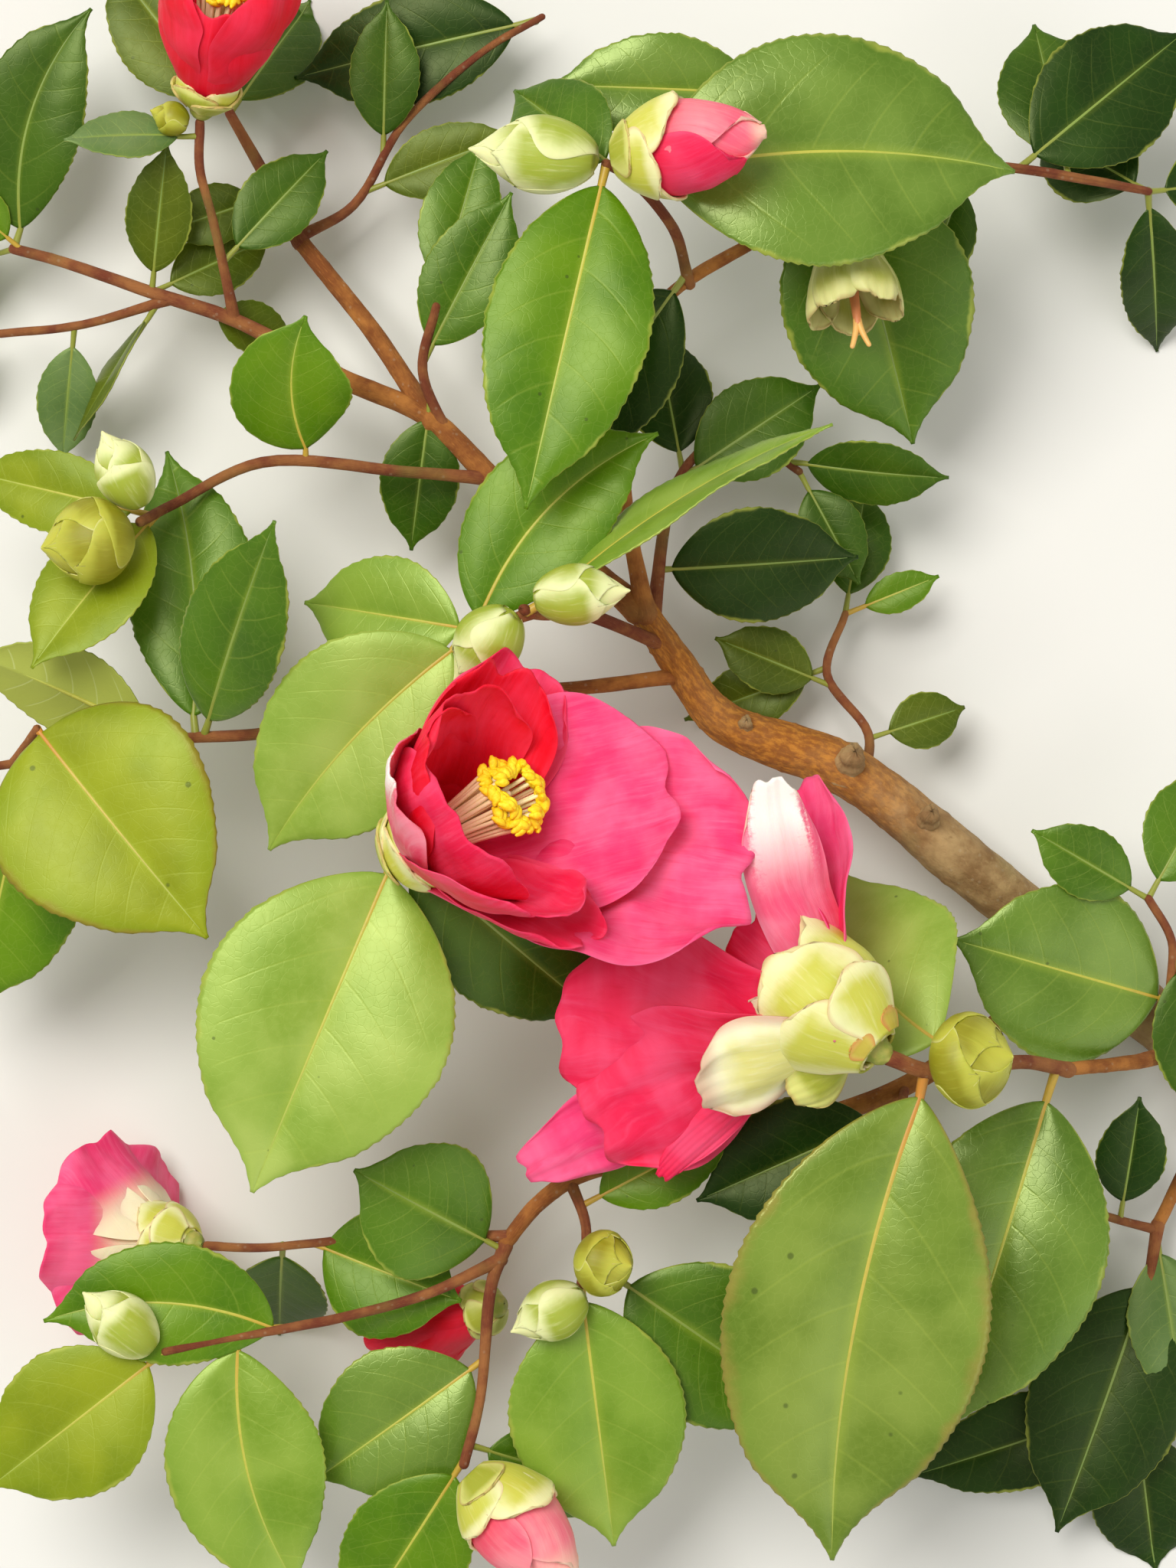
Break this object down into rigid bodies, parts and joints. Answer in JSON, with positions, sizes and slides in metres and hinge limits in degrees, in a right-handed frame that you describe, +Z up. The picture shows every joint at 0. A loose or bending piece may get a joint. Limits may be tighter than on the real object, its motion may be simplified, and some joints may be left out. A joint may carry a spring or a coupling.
{
  "type": "cut flowering camellia branch",
  "caption": "Cut branch of a camellia shrub lying flat, with glossy oval leaves, cupped red-pink blooms with yellow stamens, opening buds and round green buds on a bent brown bough.",
  "frame": {"origin": "middle of the underside, on the level surface that the branch lies on", "axes": "+Z up; +Y towards the tip of the branch, the top of the view from above; +X towards the cut end's side"},
  "size_m": [0.331, 0.3838, 0.1188],
  "materials": {
    "old_bark": "rough grey-brown bark",
    "young_bark": "satin reddish-brown bark",
    "leaf": "glossy above, matte and paler below",
    "petal": "soft satin",
    "stamen": "matte, powdery",
    "bract": "soft satin",
    "bud": "soft satin"
  },
  "bodies": {
    "root": {"main_bough": "old_bark", "west_bough": "young_bark", "upper_bough": "young_bark", "north_bough": "young_bark", "left_bough": "young_bark", "right_bough": "young_bark", "right_lower_bough": "young_bark", "lower_bough": "young_bark", "spray_centre": "leaf", "spray_bloom": "leaf", "spray_left_buds": "leaf", "spray_left_end": "leaf", "spray_far_left": "leaf", "spray_high_left": "leaf", "spray_upper": "leaf", "spray_top_middle": "leaf", "spray_top": "leaf", "spray_top_right": "leaf", "spray_inner": "leaf", "spray_knob": "leaf", "spray_right": "leaf", "spray_right_edge": "leaf", "spray_right_lower": "leaf", "spray_under": "leaf", "spray_bottom_middle": "leaf", "spray_bottom": "leaf", "spray_bottom_left": "leaf", "spray_lower_left": "leaf", "bud_centre_right": "bud", "bud_centre_left": "bud", "bud_left_upper": "bud", "bud_left_round": "bud", "bud_top": "bud", "bud_right": "bud", "bud_bottom_round": "bud", "bud_bottom_long": "bud", "bud_bottom_left": "bud", "bud_high_left": "bud", "bloom_open_stamens": "stamen", "bloom_open_petals": "petal", "bloom_open_calyx": "bract", "bloom_nodding_stamens": "stamen", "bloom_nodding_petals": "petal", "bloom_nodding_calyx": "bract", "bloom_lower_left_petals": "petal", "bloom_lower_left_calyx": "bract", "bloom_high_left_stamens": "stamen", "bloom_high_left_petals": "petal", "bloom_high_left_calyx": "bract", "bloom_low_hidden_petals": "petal", "bloom_low_hidden_calyx": "bract", "opening_bud_top_petals": "petal", "opening_bud_top_bracts": "bract", "opening_bud_bottom_petals": "petal", "opening_bud_bottom_bracts": "bract", "spent_bloom_calyx": "bract", "spent_bloom_pistil": "stamen"}
  },
  "joints": []
}
